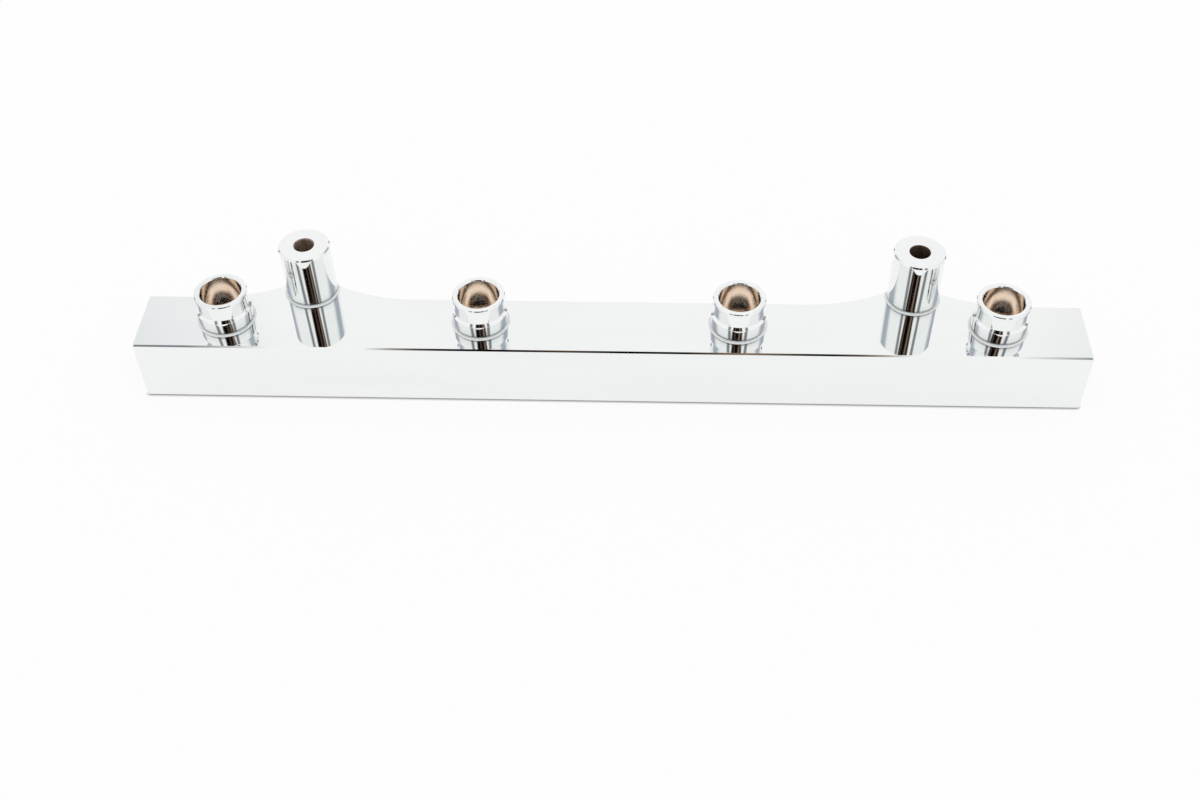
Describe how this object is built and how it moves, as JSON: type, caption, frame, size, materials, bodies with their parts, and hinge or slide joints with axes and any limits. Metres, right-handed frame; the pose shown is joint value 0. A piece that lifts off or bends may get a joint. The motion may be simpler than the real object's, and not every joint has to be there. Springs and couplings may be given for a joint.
{
  "type": "fuel rail",
  "caption": "Square billet fuel rail with turned injector cups in a row, threaded end ports and posts on rounded lugs that bolt it to an intake.",
  "frame": {"origin": "centre of the bar's underside, without the lugs", "axes": "+X along the bar, +Y towards the mounting lugs, +Z out of the injector cups"},
  "size_m": [0.331, 0.0395, 0.0456],
  "materials": {
    "bar_plate": "mirror polished bright plate",
    "cup_plate": "turned and bright plated, with a satin bore",
    "post_plate": "turned and bright plated"
  },
  "bodies": {
    "root": {"rail_bar": "bar_plate", "injector_cup_1": "cup_plate", "injector_cup_2": "cup_plate", "injector_cup_3": "cup_plate", "injector_cup_4": "cup_plate", "mounting_post_left": "post_plate", "mounting_post_right": "post_plate"}
  },
  "joints": []
}
